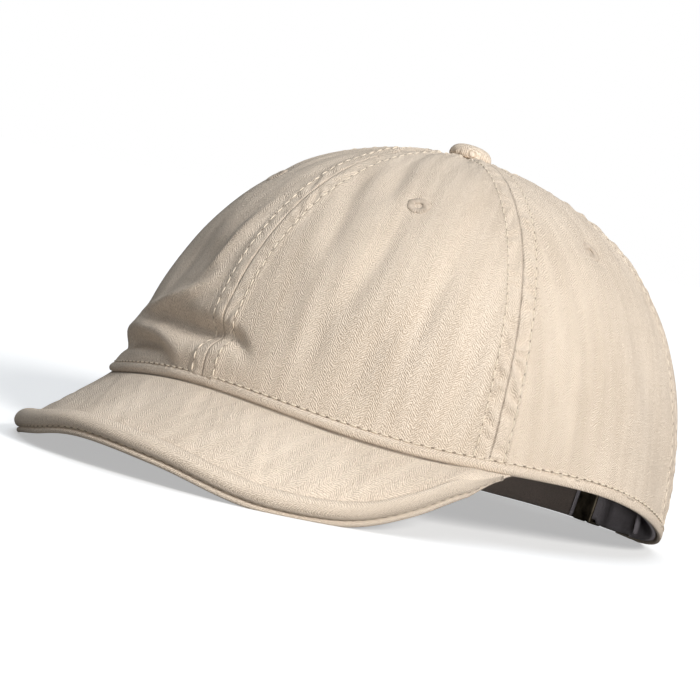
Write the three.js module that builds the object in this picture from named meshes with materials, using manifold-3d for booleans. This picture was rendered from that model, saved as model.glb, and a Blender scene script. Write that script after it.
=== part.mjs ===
// A soft six-panel cap with a short curved peak, lying on a flat surface as it rests by itself.
// Millimetres. The hat frame has its origin at the middle of the hem, the front towards -Y, the
// wearer's left towards +X and +Z up. Azimuths are degrees from the front towards the wearer's left.
import * as THREE from 'three';
import { mergeVertices } from 'three/addons/utils/BufferGeometryUtils.js';
import Module from 'manifold-3d';

const wasm = await Module();
wasm.setup();

const RADIANS = Math.PI / 180;

// Driving dimensions of the crown
const crown = {
  halfLength: 93.5,
  halfWidth: 92.8,
  height: 99.2,
  // roundness of the profile, 2 being an ellipse: the slumped front, the sides and the fuller back
  front: 1.85,
  side: 2.19,
  back: 3.0,
  rise: 2.26,
  // share of the radius by which the wall swells at half height
  frontSwell: 0.018,
  sideSwell: -0.044,
  backSwell: 0.023,
  // the top leans towards the front and the wearer's right
  leanForward: 6.5,
  leanRight: 1.7,
};
// The hem dips at the front and back and rises over the ears.
const hemWave = { twice: -3.1, fourTimes: 1.96 };

// Cloth walls and gaps
const clothThickness = 1.2;
const gap = 0.3;
const panelCount = 6;
const panelPuff = 1.0;
const crownTop = 0.978;

const band = { height: 4.5, proud: 0.8, firstAzimuth: -158.8, lastAzimuth: 158.8 };
const sweat = { height: 30, thickness: 1.3, inset: 5.2, endAzimuth: 149.7 };
const opening = { halfWidth: 33, wallHeight: 12 };
const eyelet = { radius: 4.0, hole: 1.0, thickness: 2.2, frontClimb: 0.522, sideClimb: 0.565 };
const button = { radius: 7.2, height: 4.5, shank: 2.0, plate: 5.2, plateThickness: 1.0 };

// The peak's outline in plan is half an ellipse. Its rulings fan out from the hem.
const peak = {
  thickness: 3.0,
  halfWidth: 85,
  ellipseCentre: -38,
  ellipseLength: 95,
  outlineEnd: 86.6,
  hemEnd: 66,
  camber: 1.6,
  inset: 1.2,
};
// Drop of the lower edge below the hem's middle plane, against the angle along the half ellipse.
const peakDrops = [
  { angle: 0, drop: 27.8 },
  { angle: 20, drop: 29.2 },
  { angle: 38, drop: 32.4 },
  { angle: 50, drop: 31.3 },
  { angle: 60, drop: 27.6 },
  { angle: 70, drop: 19.5 },
  { angle: 80, drop: 8.8 },
  { angle: 86.6, drop: 0.8 },
];
// Section of the roll, groove and lower lip that wrap the peak's outer edge: out from the edge and up
// from the lip's underside. The last four points are the pocket that holds the peak.
const bindingSection = [
  { out: -6.6, up: 4.2 },
  { out: -6.0, up: 5.6 },
  { out: -4.8, up: 6.4 },
  { out: -3.4, up: 6.6 },
  { out: -2.0, up: 6.2 },
  { out: -0.9, up: 5.1 },
  { out: -0.5, up: 3.7 },
  { out: -0.9, up: 2.6 },
  { out: -1.7, up: 2.0 },
  { out: -0.3, up: 1.8 },
  { out: 0, up: 1.0 },
  { out: -0.4, up: 0 },
  { out: -6.0, up: 0 },
  { out: -6.0, up: 0.6 },
  { out: -4.4, up: 0.6 },
  { out: -4.4, up: 4.2 },
];
const lipThickness = 0.9;
const peakTuck = 4.7;
// From this share of the peak's half width outwards the edge shrinks and tucks under the hem.
const taper = { start: 0.86, end: 0.22 };

// Folds of the crown cloth: from one end to the other in azimuth and height above the hem, the
// half width across, and how far the cloth stands out or, below zero, sinks in.
const folds = [
  { azimuth: -38, height: 15, toAzimuth: -12, toHeight: 30, width: 6, depth: 2.0 },
  { azimuth: -16, height: 24, toAzimuth: 5, toHeight: 20, width: 5, depth: -2.4 },
  { azimuth: 5, height: 20, toAzimuth: 10, toHeight: 13, width: 4, depth: -1.2 },
  { azimuth: -32, height: 17, toAzimuth: -4, toHeight: 13, width: 4.5, depth: 1.2 },
  { azimuth: -42, height: 8, toAzimuth: -19, toHeight: 10.5, width: 4, depth: -2.4 },
  { azimuth: 28.5, height: 66, toAzimuth: 27.5, toHeight: 29, width: 7, depth: -1.0 },
  { azimuth: 6.5, height: 85, toAzimuth: 12.5, toHeight: 69, width: 6, depth: -0.7 },
  { azimuth: 45, height: 54, toAzimuth: 44, toHeight: 14, width: 7, depth: -0.8 },
  { azimuth: 72, height: 35, toAzimuth: 84, toHeight: 14, width: 7, depth: -0.8 },
  { azimuth: 98, height: 54, toAzimuth: 112, toHeight: 16, width: 8, depth: -1.0 },
  { azimuth: -75, height: 30, toAzimuth: -90, toHeight: 12, width: 8, depth: -1.0 },
  { azimuth: -104, height: 56, toAzimuth: -112, toHeight: 18, width: 8, depth: -1.0 },
  { azimuth: 150, height: 82, toAzimuth: 144, toHeight: 55, width: 8, depth: -0.9 },
  { azimuth: -146, height: 78, toAzimuth: -139, toHeight: 48, width: 8, depth: -0.9 },
];

// The strap crosses the rear opening behind the panels. Its free end doubles back through the slide
// and tucks inside the sweatband.
const strap = {
  thickness: 1.6,
  low: 3.6,
  high: 21.6,
  endAzimuth: 150,
  tailStart: 173.5,
  tailLeaves: 164,
  tailTucked: 154,
  tailEnd: 135,
  tailNarrower: 0.5,
};
const slide = { wall: 1.3, from: 165.4, to: 171.6, windowFrom: 167, windowTo: 170, windowInset: 4 };

// Resting: the peak's edge and the back of the hem touch the surface, and the cloth flattens there.
const restTilt = -8.8 * RADIANS;
const floorLevel = -14.6;

const cloth = { color: 0xd9c8b2, roughness: 0.95, metalness: 0 };
const darkCloth = { color: 0x443a34, roughness: 0.95, metalness: 0 };
const agedMetal = { color: 0x8a7a5c, roughness: 0.4, metalness: 1 };

// Crown surface

function hemHeight(azimuth) {
  const a = azimuth * RADIANS;
  return hemWave.twice * Math.cos(2 * a) + hemWave.fourTimes * Math.cos(4 * a);
}

// The bare crown surface. Climb runs from 0 at the hem to 1 at the top.
function crownPoint(azimuth, climb) {
  const a = azimuth * RADIANS;
  const forward = Math.cos(a);
  const front = Math.max(forward, 0) ** 2;
  const back = Math.max(-forward, 0) ** 2;
  const side = Math.sin(a) ** 2;
  const roundness = crown.front * front + crown.side * side + crown.back * back;
  const swell = crown.frontSwell * front + crown.sideSwell * side + crown.backSwell * back;
  const angle = climb * Math.PI / 2;
  let reach = 1;
  let step = 0.5;
  for (let i = 0; i < 40; i++) {
    const sum = (reach * Math.cos(angle)) ** roundness + (reach * Math.sin(angle)) ** crown.rise;
    reach += sum < 1 ? step : -step;
    step /= 2;
  }
  const up = reach * Math.sin(angle);
  const out = reach * Math.cos(angle) * (1 + 4 * swell * up * (1 - up));
  return new THREE.Vector3(
    crown.halfWidth * Math.sin(a) * out - crown.leanRight * up ** 3,
    -crown.halfLength * Math.cos(a) * out - crown.leanForward * up ** 3,
    hemHeight(azimuth) * (1 - up) ** 2 + crown.height * up,
  );
}

function crownNormal(azimuth, climb) {
  const turn = 0.5;
  const lift = 0.004;
  const around = crownPoint(azimuth + turn, climb).sub(crownPoint(azimuth - turn, climb));
  const upwards = crownPoint(azimuth, climb + lift).sub(crownPoint(azimuth, climb - lift));
  return around.cross(upwards).normalize();
}

// How far the folds and the fullness between two seams move the cloth outwards.
function clothRise(azimuth, point) {
  const reach = Math.hypot(point.x, point.y);
  const fullness = (1 - Math.cos(panelCount * azimuth * RADIANS)) / 2;
  const share = THREE.MathUtils.clamp(point.z / crown.height, 0, 1);
  let rise = panelPuff * fullness * 4 * share * (1 - share);
  for (const fold of folds) {
    const run = (fold.toAzimuth - fold.azimuth) * RADIANS * reach;
    const climb = fold.toHeight - fold.height;
    const across = (azimuth - fold.azimuth) * RADIANS * reach;
    const above = point.z - fold.height;
    const along = (across * run + above * climb) / (run * run + climb * climb);
    const share = THREE.MathUtils.clamp(along, 0, 1);
    const distance = Math.hypot(across - share * run, above - share * climb);
    rise += fold.depth * Math.exp(-((distance / fold.width) ** 2));
  }
  return rise;
}

// A point of the folded cloth, or of a surface at some inset behind it.
function clothPoint(azimuth, climb, inset) {
  const point = crownPoint(azimuth, climb);
  const rise = clothRise(azimuth, point);
  return point.addScaledVector(crownNormal(azimuth, climb), rise - inset);
}

// The climb at which the bare crown is a given height above the hem.
function climbAt(azimuth, height) {
  let low = 0;
  let high = 1;
  for (let i = 0; i < 30; i++) {
    const middle = (low + high) / 2;
    if (crownPoint(azimuth, middle).z - hemHeight(azimuth) < height) low = middle;
    else high = middle;
  }
  return low;
}

// A point behind the bare crown, at a height above the hem.
function wallPoint(azimuth, height, inset) {
  const climb = climbAt(azimuth, Math.max(height, 0));
  const point = crownPoint(azimuth, climb);
  const out = crownNormal(azimuth, climb);
  out.z = 0;
  point.addScaledVector(out.normalize(), -inset);
  if (height < 0) point.z += height;
  return point;
}

// Closed solids from rows of points

const floorNormal = new THREE.Vector3(0, Math.sin(restTilt), Math.cos(restTilt));

// Cloth below the resting surface is pressed flat against it.
function pressFlat(point) {
  const depth = floorLevel - point.dot(floorNormal);
  return depth > 0 ? point.clone().addScaledVector(floorNormal, depth) : point;
}

function solid(points, triangles) {
  const flat = points.map(pressFlat);
  let volume = 0;
  for (const [a, b, c] of triangles) volume += flat[a].dot(flat[b].clone().cross(flat[c]));
  const order = volume < 0 ? triangles.map(([a, b, c]) => [a, c, b]) : triangles;
  const geometry = new THREE.BufferGeometry();
  geometry.setAttribute('position', new THREE.Float32BufferAttribute(flat.flatMap((p) => p.toArray()), 3));
  geometry.setIndex(order.flat());
  return geometry;
}

// A wall between two grids of points, closed along its four edges.
function wallBetween(outer, inner) {
  const rows = outer.length;
  const columns = outer[0].length;
  const points = [...outer.flat(), ...inner.flat()];
  const at = (row, column) => row * columns + column;
  const behind = rows * columns;
  const triangles = [];
  const quad = (a, b, c, d) => triangles.push([a, b, c], [a, c, d]);
  for (let r = 0; r < rows - 1; r++) {
    for (let c = 0; c < columns - 1; c++) {
      quad(at(r, c), at(r, c + 1), at(r + 1, c + 1), at(r + 1, c));
      quad(behind + at(r, c), behind + at(r + 1, c), behind + at(r + 1, c + 1), behind + at(r, c + 1));
    }
  }
  for (let c = 0; c < columns - 1; c++) {
    quad(at(0, c + 1), at(0, c), behind + at(0, c), behind + at(0, c + 1));
    quad(at(rows - 1, c), at(rows - 1, c + 1), behind + at(rows - 1, c + 1), behind + at(rows - 1, c));
  }
  for (let r = 0; r < rows - 1; r++) {
    quad(at(r, 0), at(r + 1, 0), behind + at(r + 1, 0), behind + at(r, 0));
    quad(at(r + 1, columns - 1), at(r, columns - 1), behind + at(r, columns - 1), behind + at(r + 1, columns - 1));
  }
  return solid(points, triangles);
}

// A run of equal sections joined one to the next, with its two ends capped by the section's outline.
function sweep(sections, outline) {
  const size = outline.length;
  const points = sections.flat();
  const triangles = [];
  for (let s = 0; s < sections.length - 1; s++) {
    for (let k = 0; k < size; k++) {
      const next = (k + 1) % size;
      const a = s * size + k;
      const b = s * size + next;
      triangles.push([a, b, b + size], [a, b + size, a + size]);
    }
  }
  const cap = THREE.ShapeUtils.triangulateShape(outline, []);
  const last = (sections.length - 1) * size;
  const startsForward = THREE.ShapeUtils.isClockWise(outline);
  for (const [a, b, c] of cap) {
    const [p, q] = startsForward ? [b, c] : [c, b];
    triangles.push([a, p, q], [last + a, last + q, last + p]);
  }
  return solid(points, triangles);
}

function range(count, from, to) {
  return Array.from({ length: count + 1 }, (_, i) => from + (to - from) * i / count);
}

// Boolean cuts

function toManifold(geometry) {
  const bare = geometry.clone();
  bare.deleteAttribute('normal');
  bare.deleteAttribute('uv');
  const merged = mergeVertices(bare, 1e-5);
  return new wasm.Manifold(new wasm.Mesh({
    numProp: 3,
    vertProperties: new Float32Array(merged.attributes.position.array),
    triVerts: new Uint32Array(merged.index.array),
  }));
}

function cut(geometry, ...tools) {
  let body = toManifold(geometry);
  for (const tool of tools) body = body.subtract(toManifold(tool));
  const { vertProperties, triVerts } = body.getMesh();
  const result = new THREE.BufferGeometry();
  result.setAttribute('position', new THREE.BufferAttribute(new Float32Array(vertProperties), 3));
  result.setIndex(new THREE.BufferAttribute(new Uint32Array(triVerts), 1));
  return result;
}

// Pieces

const hat = new THREE.Group();

function add(name, geometry, finish) {
  geometry.computeVertexNormals();
  const mesh = new THREE.Mesh(geometry, new THREE.MeshStandardMaterial(finish));
  mesh.name = name;
  hat.add(mesh);
  return mesh;
}

// Puts a geometry made round its own Z axis at a point of the crown, facing out.
function faceOut(geometry, azimuth, climb, inset) {
  const turn = new THREE.Quaternion().setFromUnitVectors(new THREE.Vector3(0, 0, 1), crownNormal(azimuth, climb));
  const place = clothPoint(azimuth, climb, inset);
  return geometry.applyMatrix4(new THREE.Matrix4().compose(place, turn, new THREE.Vector3(1, 1, 1)));
}

function archCutter() {
  const far = 120;
  const near = 40;
  const below = -20;
  const shape = new THREE.Shape();
  shape.moveTo(-opening.halfWidth, below);
  shape.lineTo(-opening.halfWidth, opening.wallHeight);
  shape.absarc(0, opening.wallHeight, opening.halfWidth, Math.PI, 0, true);
  shape.lineTo(opening.halfWidth, below);
  shape.closePath();
  const geometry = new THREE.ExtrudeGeometry(shape, { depth: far - near, bevelEnabled: false, curveSegments: 14 });
  return geometry.rotateX(Math.PI / 2).translate(0, far, 0);
}

function eyeletGeometry() {
  const half = eyelet.thickness / 2;
  const { radius, hole } = eyelet;
  const section = [
    [hole, 0],
    [hole + 0.8, -half],
    [radius - 0.7, -half],
    [radius, 0],
    [radius - 0.7, half],
    [hole + 0.8, half],
    [hole, 0],
  ];
  const sides = 12;
  return new THREE.LatheGeometry(section.map(([r, z]) => new THREE.Vector2(r, z)), sides).rotateX(Math.PI / 2);
}

function panel(name, from, to, fine) {
  const columns = range(fine ? 14 : 10, 0, 1);
  const rows = range(fine ? 16 : 14, 0, 1);
  const grid = (inset) => rows.map((row) => columns.map((column) => {
    const middle = from + (to - from) * column;
    const low = climbAt(middle, band.height + gap);
    const climb = low + (crownTop - low) * row;
    const reach = crownPoint(middle, climb);
    const radius = Math.hypot(reach.x + crown.leanRight, reach.y + crown.leanForward);
    const edge = Math.asin(Math.min(gap / 2 / radius, 0.5)) / RADIANS;
    return clothPoint(from + edge + (to - from - 2 * edge) * column, climb, inset);
  }));
  const climb = Math.abs(from + to) / 2 < 60 ? eyelet.frontClimb : eyelet.sideClimb;
  const hole = new THREE.CylinderGeometry(eyelet.radius + gap, eyelet.radius + gap, 8, 14).rotateX(Math.PI / 2);
  const cutters = [faceOut(hole, (from + to) / 2, climb, clothThickness / 2)];
  if (Math.abs(from + to) / 2 > 120) cutters.push(archCutter());
  add(`panel_${name}`, cut(wallBetween(grid(0), grid(clothThickness)), ...cutters), cloth);
  add(`eyelet_${name}`, faceOut(eyeletGeometry(), (from + to) / 2, climb, clothThickness / 2), cloth);
}

function edgeBand() {
  const back = clothThickness;
  const { proud, height } = band;
  const outline = [
    [-back, 0],
    [proud - 0.5, 0],
    [proud - 0.1, 0.7],
    [proud, 1.8],
    [proud, 2.8],
    [proud - 0.2, 3.8],
    [proud - 0.6, height],
    [-back, height],
  ].map(([x, y]) => new THREE.Vector2(x, y));
  const sections = range(64, band.firstAzimuth, band.lastAzimuth)
    .map((azimuth) => outline.map((p) => wallPoint(azimuth, p.y, -p.x)));
  add('edge_band', sweep(sections, outline), cloth);
}

// The sweatband leans inwards from the hem, clear of the folds of the cloth.
function sweatband() {
  const outline = [
    [-1.8, 0.9],
    [-2.4, 5],
    [-4.9, 13],
    [-sweat.inset, sweat.height],
    [-sweat.inset - sweat.thickness, sweat.height],
    [-4.9 - sweat.thickness, 13],
    [-2.4 - sweat.thickness, 5],
    [-1.8 - sweat.thickness, 0.9],
  ].map(([x, y]) => new THREE.Vector2(x, y));
  const sections = range(48, -sweat.endAzimuth, sweat.endAzimuth)
    .map((azimuth) => outline.map((p) => wallPoint(azimuth, p.y, -p.x)));
  add('sweatband', sweep(sections, outline), darkCloth);
}

// Peak

// Smooth drop of the peak's lower edge, through the rows of the table.
function peakDrop(angle) {
  const a = Math.abs(angle);
  const last = peakDrops.length - 1;
  const index = Math.min(peakDrops.findIndex((row, i) => i === last || a <= peakDrops[i + 1].angle), last - 1);
  const row = (i) => peakDrops[THREE.MathUtils.clamp(Math.abs(i), 0, last)].drop;
  const { angle: from } = peakDrops[index];
  const share = (a - from) / (peakDrops[index + 1].angle - from);
  const slopeIn = (row(index + 1) - row(index - 1)) / 2;
  const slopeOut = (row(index + 2) - row(index)) / 2;
  const s2 = share * share;
  const s3 = s2 * share;
  return row(index) * (2 * s3 - 3 * s2 + 1) + slopeIn * (s3 - 2 * s2 + share)
    + row(index + 1) * (3 * s2 - 2 * s3) + slopeOut * (s3 - s2);
}

// One ruling of the peak, from the hem to the lower edge, with its own directions and size.
function ruling(across) {
  const azimuth = across * peak.hemEnd;
  const start = wallPoint(azimuth, 0, peak.inset);
  start.z -= gap + 0.05;
  const angle = across * peak.outlineEnd;
  const edge = new THREE.Vector3(
    peak.halfWidth * Math.sin(angle * RADIANS),
    peak.ellipseCentre - peak.ellipseLength * Math.cos(angle * RADIANS),
    -peakDrop(angle),
  );
  const shrink = THREE.MathUtils.smoothstep(Math.abs(across), taper.start, 1);
  const size = 1 - (1 - taper.end) * shrink;
  const out = edge.clone().sub(start).normalize();
  const side = new THREE.Vector3(-out.y, out.x, 0).normalize();
  const up = side.clone().cross(out).normalize();
  if (up.z < 0) up.negate();
  return { start, edge, out, up, size };
}

function peakPieces() {
  const rulings = range(40, -1, 1).map(ruling);
  const face = (drop) => rulings.map(({ start, edge, out, up, size }) => {
    const end = edge.clone()
      .addScaledVector(out, -peakTuck * size)
      .addScaledVector(up, (lipThickness + peak.thickness) * size);
    return range(6, 0, 1).map((share) => start.clone().lerp(end, share)
      .addScaledVector(up, peak.camber * 4 * share * (1 - share) * size - drop * size));
  });
  add('peak', wallBetween(face(0), face(peak.thickness)), cloth);

  const outline = bindingSection.map(({ out, up }) => new THREE.Vector2(out, up));
  const sections = rulings.map(({ edge, out, up, size }) => outline.map((p) => edge.clone()
    .addScaledVector(out, p.x * size)
    .addScaledVector(up, p.y * size)));
  add('peak_binding', sweep(sections, outline), cloth);
}

// Top button: a covered dome on a shank, with a back plate under the tips of the panels.
function topButton() {
  const seat = 0.5;
  const plateTop = -clothThickness - 0.6;
  const dome = range(6, 0, Math.PI / 2).map((a) => new THREE.Vector2(
    button.radius * Math.cos(a),
    seat + 0.8 + (button.height - 0.8) * Math.sin(a),
  ));
  dome[dome.length - 1].x = 0;
  const profile = [
    new THREE.Vector2(0, plateTop - button.plateThickness),
    new THREE.Vector2(button.plate, plateTop - button.plateThickness),
    new THREE.Vector2(button.plate, plateTop),
    new THREE.Vector2(button.shank, plateTop),
    new THREE.Vector2(button.shank, seat),
    new THREE.Vector2(button.radius - 0.4, seat),
    ...dome,
  ];
  const mesh = add('button', new THREE.LatheGeometry(profile, 24).rotateX(Math.PI / 2), cloth);
  mesh.position.copy(crownPoint(0, 1));
}

// A flat band behind the crown's surface, between two azimuths and two heights above the hem. The
// inset of its outer face is a number or a function of the azimuth.
function ribbon(count, from, to, inset, thickness, low, high) {
  const outline = [[0, low], [0, high], [-thickness, high], [-thickness, low]]
    .map(([x, y]) => new THREE.Vector2(x, y));
  const sections = range(count, from, to).map((azimuth) => {
    const face = typeof inset === 'function' ? inset(azimuth) : inset;
    return outline.map((p) => wallPoint(azimuth, p.y, face - p.x));
  });
  return sweep(sections, outline);
}

function strapPieces() {
  const { thickness, low, high, endAzimuth } = strap;
  const strapInset = clothThickness + gap;
  const tailInset = strapInset + thickness + gap;
  const tuckedInset = sweat.inset + sweat.thickness + gap;
  const tailAt = (azimuth) => THREE.MathUtils.lerp(
    tuckedInset,
    tailInset,
    THREE.MathUtils.smoothstep(azimuth, strap.tailTucked, strap.tailLeaves),
  );
  const tailLow = low + strap.tailNarrower;
  const tailHigh = high - strap.tailNarrower;
  add('back_strap', ribbon(20, endAzimuth, 360 - endAzimuth, strapInset, thickness, low, high), cloth);
  add('strap_tail', ribbon(16, strap.tailEnd, strap.tailStart, tailAt, thickness, tailLow, tailHigh), cloth);

  // The slide is a flat metal sleeve round both layers, with a window in its outer face.
  const { wall, from, to } = slide;
  const slotDepth = 2 * thickness + 3 * gap;
  const sleeve = ribbon(
    3, from, to, strapInset - gap - wall, slotDepth + 2 * wall, low - gap - wall, high + gap + wall,
  );
  const slot = ribbon(5, from - 2, to + 2, strapInset - gap, slotDepth, low - gap, high + gap);
  const window = ribbon(
    2, slide.windowFrom, slide.windowTo, strapInset - gap - 2 * wall, 2 * wall + gap,
    low + slide.windowInset, high - slide.windowInset,
  );
  add('strap_buckle', cut(sleeve, slot, window), agedMetal);
}

panel('front_left', 0, 60, true);
panel('front_right', -60, 0, true);
panel('side_left', 60, 120, false);
panel('side_right', -120, -60, false);
panel('back_left', 120, 180, false);
panel('back_right', -180, -120, false);
edgeBand();
sweatband();
peakPieces();
topButton();
strapPieces();

// The part stands on its origin: the middle of its box, at the resting surface.
hat.rotation.x = restTilt;
const part = new THREE.Group();
part.add(hat);
const box = new THREE.Box3().setFromObject(part, true);
hat.position.set(0, -(box.min.y + box.max.y) / 2, -floorLevel);
export default part;
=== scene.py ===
"""A soft six-panel twill cap with a short curved peak, lying on a pale floor.

Shapes are worked out in the hat's own frame, in millimetres: the origin at the middle of the hem, the
front towards -Y, the wearer's left towards +X and +Z up. Azimuths are degrees from the front towards
the wearer's left. stand() then rests the hat on the floor, in metres.
"""

import math

import bpy
import numpy as np
from mathutils import Matrix, Vector


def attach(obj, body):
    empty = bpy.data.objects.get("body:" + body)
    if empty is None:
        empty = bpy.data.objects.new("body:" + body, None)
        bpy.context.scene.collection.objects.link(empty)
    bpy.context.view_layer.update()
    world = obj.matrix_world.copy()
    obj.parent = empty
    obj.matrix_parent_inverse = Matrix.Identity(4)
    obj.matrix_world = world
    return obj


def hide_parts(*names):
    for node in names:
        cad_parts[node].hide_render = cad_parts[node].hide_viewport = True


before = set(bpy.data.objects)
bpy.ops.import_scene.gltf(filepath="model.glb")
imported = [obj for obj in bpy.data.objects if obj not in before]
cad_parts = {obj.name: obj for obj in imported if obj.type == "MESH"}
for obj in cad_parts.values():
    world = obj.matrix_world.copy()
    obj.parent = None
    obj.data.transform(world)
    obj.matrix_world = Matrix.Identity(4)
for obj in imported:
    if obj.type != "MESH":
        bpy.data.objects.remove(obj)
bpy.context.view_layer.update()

MM = 0.001

# Crown, as in the solids
HALF_LENGTH = 93.5
HALF_WIDTH = 92.8
CROWN_HEIGHT = 99.2
ROUND_FRONT, ROUND_SIDE, ROUND_BACK, ROUND_RISE = 1.85, 2.19, 3.0, 2.26
SWELL_FRONT, SWELL_SIDE, SWELL_BACK = 0.018, -0.044, 0.023
LEAN_FORWARD, LEAN_RIGHT = 6.5, 1.7
HEM_TWICE, HEM_FOUR = -3.1, 1.96
MERIDIAN = 150.0  # length of the cloth from hem to button
PANELS = 6
PANEL_ANGLE = 360 / PANELS
PANEL_PUFF = 0.4
CLOTH = 1.2
CROWN_TOP = 0.975
PANEL_ROWS = 150
SEAM_GAP = 0.03  # half the gap between two panels

# Resting pose
REST_TILT = math.radians(-8.8)
STAND_Y = 20.951
STAND_Z = 14.6

# Hem band, sweatband and rear opening
BAND_HEIGHT = 3.6
BAND_PROUD_FRONT, BAND_PROUD_BACK = 0.9, 0.4
BAND_END = 158.8
SWEAT_HEIGHT, SWEAT_THICKNESS, SWEAT_INSET, SWEAT_END = 30.0, 1.3, 5.2, 149.7
BAND_OVERLAP = 1.1  # of the panels, behind the hem band
ARCH_HALF_WIDTH = 33.0
ARCH_WALL = 12.0

# Strap behind the rear opening and its slide
STRAP_LOW, STRAP_HIGH, STRAP_INSET, STRAP_THICKNESS = 0.9, 21.6, 1.8, 1.6
SLIDE_MIDDLE, SLIDE_HALF = 168.5, 3.1
SLIDE_WALL, SLIDE_CLEAR, SLIDE_CORNER = 0.8, 0.3, 0.14

# Peak
PEAK_THICKNESS = 3.0
PEAK_HALF_WIDTH, PEAK_HALF_WIDTH_RIGHT = 85.0, 83.0
PEAK_CENTRE, PEAK_LENGTH = -38.0, 95.0
PEAK_OUTLINE_END, PEAK_HEM_END = 86.6, 66.0
PEAK_CAMBER = 1.6
PEAK_TUCK = 4.7
PEAK_HIDDEN = 1.8  # of the peak's root, under the hem band
LIP = 0.9
TAPER_START, TAPER_END = 0.86, 0.22
# angle along the outline, drop of the lower edge
PEAK_DROPS = [
    (0, 27.8), (20, 29.2), (38, 32.4), (50, 31.3), (60, 27.6), (70, 19.5), (80, 8.8), (86.6, 0.8),
]

# Folds of the crown cloth, each a line of turns: azimuth, height, half width, depth outwards
FOLDS = {
    "roll over the peak": [
        (-58, 8.6, 3.4, 2.8), (-42, 10.4, 3.6, 2.8), (-34, 12.6, 3.4, 2.6), (-20.5, 11.4, 3.4, 1.8),
        (-14.5, 9.2, 3.4, 1.2), (-9, 6.5, 3.2, 0.6),
    ],
    "front of the roll": [
        (-17, 9.6, 3.8, 0.5), (-9, 8, 4.2, 0.8), (2, 7.4, 4.6, 0.8), (12, 7, 4.6, 0.3),
    ],
    "tuck under the roll": [
        (-54, 4.2, 1.9, -0.2), (-42, 6, 2, -1.2), (-36, 7.2, 2.1, -3.2), (-28.5, 8, 2.3, -4.2),
        (-18.5, 7.6, 2.4, -3.6), (-13.5, 5.6, 2.6, -2), (-9.5, 3, 2.6, -0.6),
    ],
    "hollow over the roll": [
        (-36, 15.4, 1.8, -0.2), (-28, 16.6, 2.4, -1.8), (-21, 17.3, 3, -3.3), (-14, 16.9, 3.5, -4.6),
        (-8, 16.1, 3.7, -5), (-3, 15.8, 3.6, -4.9), (1, 16.2, 3.2, -3.8), (3.5, 16.4, 2.8, -3.3),
        (5.5, 15.4, 2.3, -2.7), (7.5, 13.2, 2.2, -1.5), (10, 10.8, 2.4, -0.2),
    ],
    "shoulder of the roll": [(-62, 13.4, 2.6, 1.3), (-50, 14, 2.4, 1.1), (-40, 14.6, 2, 0.3)],
    "ridge above the hollow": [
        (-54, 16.4, 3, 0.6), (-40, 17, 3, 0.9), (-33, 18.2, 2.2, 1.3), (-26, 20.2, 2, 2.1),
        (-21.5, 22.2, 2.2, 2.5), (-17, 24.4, 2.4, 2.5), (-12, 27.2, 2.6, 2), (-8.5, 31, 2.8, 1.2),
        (-7, 37, 3, 0.3),
    ],
    "dent by the front seam": [(-33, 40, 9, -0.7), (-24, 38, 11, -2.2), (-16, 40, 6, -1.8)],
    "edge by the front seam": [
        (-7.5, 66, 4, 0.2), (-9, 50, 3.4, 1.6), (-10.5, 39, 3.2, 1.6), (-13, 31, 3, 0.4),
    ],
    "flat under the button": [(-44, 84, 13, -0.8), (-36, 62, 13, -0.8)],
    "front ripple": [(28, 67, 3.4, -0.8), (27, 52, 3.6, -1.7), (25, 38, 3.6, -1.4), (24, 28, 3.6, -0.2)],
    "ripple by the button": [
        (15.5, 88, 2.8, -0.6), (19, 82, 2.9, -1.2), (20.5, 76, 3, -1), (21, 70, 3, -0.1),
    ],
    "high ripple": [
        (8, 82, 3.4, -0.2), (9, 76, 3.4, -1.3), (13, 65, 3.6, -1.5), (15, 53, 3.8, -1.1),
        (16, 44, 3.8, -0.1),
    ],
    "long ripple": [
        (50, 83, 4, -0.4), (45, 67, 3.8, -1.1), (42, 51, 3.6, -1.6), (40, 35, 3.6, -1.6),
        (38, 16, 3.8, -0.3),
    ],
    "ripple by the side seam": [
        (52, 50, 3.4, -0.2), (51.5, 36, 3.2, -1), (51.5, 21, 3.2, -1.3), (51, 12, 3.4, -0.7),
    ],
    "middle ripple": [
        (39.5, 50, 3.6, -0.1), (39, 41, 3.6, -0.5), (33, 26, 3.8, -0.8), (31, 12, 3.8, -0.4),
    ],
    "low front ripple": [(21, 37, 3.8, -0.3), (22, 23, 3.8, -0.9), (23, 11, 3.8, -0.6)],
    "low ripple by the seam": [(11, 46, 4.2, -0.2), (13.5, 33, 4.2, -0.8), (15, 20, 4.2, -0.5)],
    "side ripple": [(71.5, 36, 5, -0.4), (76, 27.6, 5, -1), (81.5, 17, 5, -0.7), (85, 10, 5, -0.2)],
    "rear side ripple": [(98, 54, 8, -1), (112, 16, 8, -1)],
    "far ripple": [(-75, 30, 8, -1), (-90, 12, 8, -0.5)],
    "far rear ripple": [(-104, 56, 8, -1), (-112, 18, 8, -1)],
    "back ripple": [(150, 82, 8, -0.9), (144, 55, 8, -0.9)],
    "far back ripple": [(-146, 78, 8, -0.9), (-139, 48, 8, -0.9)],
}
# The hem spreads on the right of the front
FLARE_AZIMUTH, FLARE_WIDTH, FLARE_RISE = -46.0, 21.0, 7.4
FLARE_OUT, FLARE_DOWN = 3.4, 1.7

# Sewing
TOPSTITCH = 4.9  # from the seam line to each row of topstitching
SEAM_STITCH, HEM_STITCH = 3.6, 3.3  # from one stitch to the next
ALLOWANCE_FULL, ALLOWANCE_END, ALLOWANCE_RISE = 5.2, 7.2, 0.32
CREASE_DEPTH, CREASE_WIDTH = 0.24, 0.45
PUCKER_PITCH = 7.2
STITCH_SUNK = 0.12
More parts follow.
